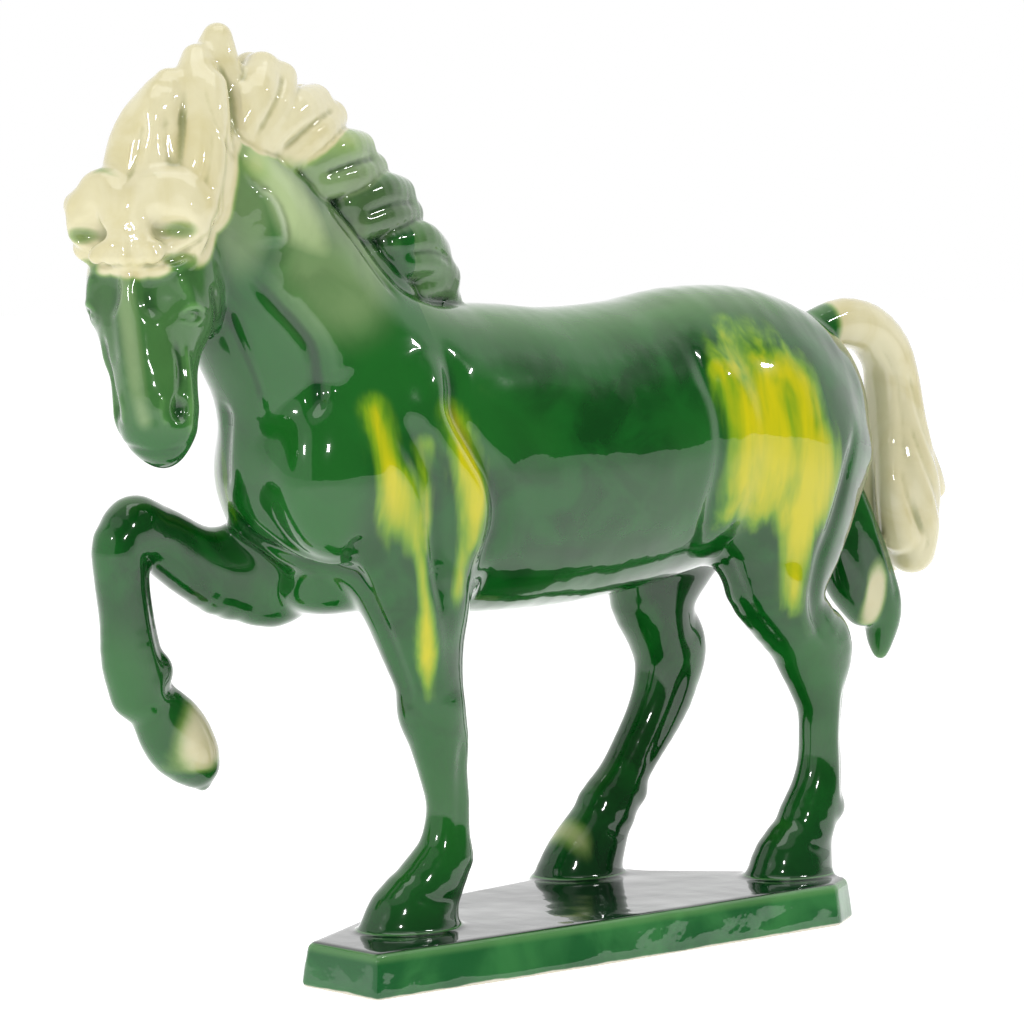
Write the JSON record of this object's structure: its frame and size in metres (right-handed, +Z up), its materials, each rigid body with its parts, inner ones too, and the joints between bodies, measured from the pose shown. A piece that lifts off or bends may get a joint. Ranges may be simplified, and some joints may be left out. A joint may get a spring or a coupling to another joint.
{
  "type": "glazed ceramic horse statue",
  "caption": "Free-standing glazed ceramic horse on a low plinth, one foreleg raised, head turned, with a lobed mane and full tail.",
  "frame": {"origin": "on the rest plane, under the middle of the plinth's length and width", "axes": "+X the way the horse's body faces, +Y its left side, +Z up"},
  "size_m": [0.389, 0.096, 0.317],
  "materials": {
    "green_glaze": "thick glossy emerald glaze, darker where it pools and paler over ridges, with yellow runs on shoulder and haunch",
    "cream_glaze": "glossy cream glaze with olive green lying in the grooves",
    "plinth_glaze": "glossy dark green glaze above an unglazed whitish foot line"
  },
  "bodies": {
    "root": {"plinth": "plinth_glaze", "torso": "green_glaze", "neck": "green_glaze", "head": "green_glaze", "left_ear": "cream_glaze", "right_ear": "cream_glaze", "forelock": "cream_glaze", "plume": "cream_glaze", "mane_lock_1": "cream_glaze", "mane_lock_2": "cream_glaze", "mane_lock_3": "green_glaze", "mane_lock_4": "green_glaze", "mane_lock_5": "green_glaze", "tail": "cream_glaze", "tail_inner_lock": "cream_glaze", "left_foreleg": "green_glaze", "right_forearm": "green_glaze", "right_forefoot": "green_glaze", "left_hind_leg": "green_glaze", "right_hind_leg": "green_glaze"}
  },
  "joints": []
}
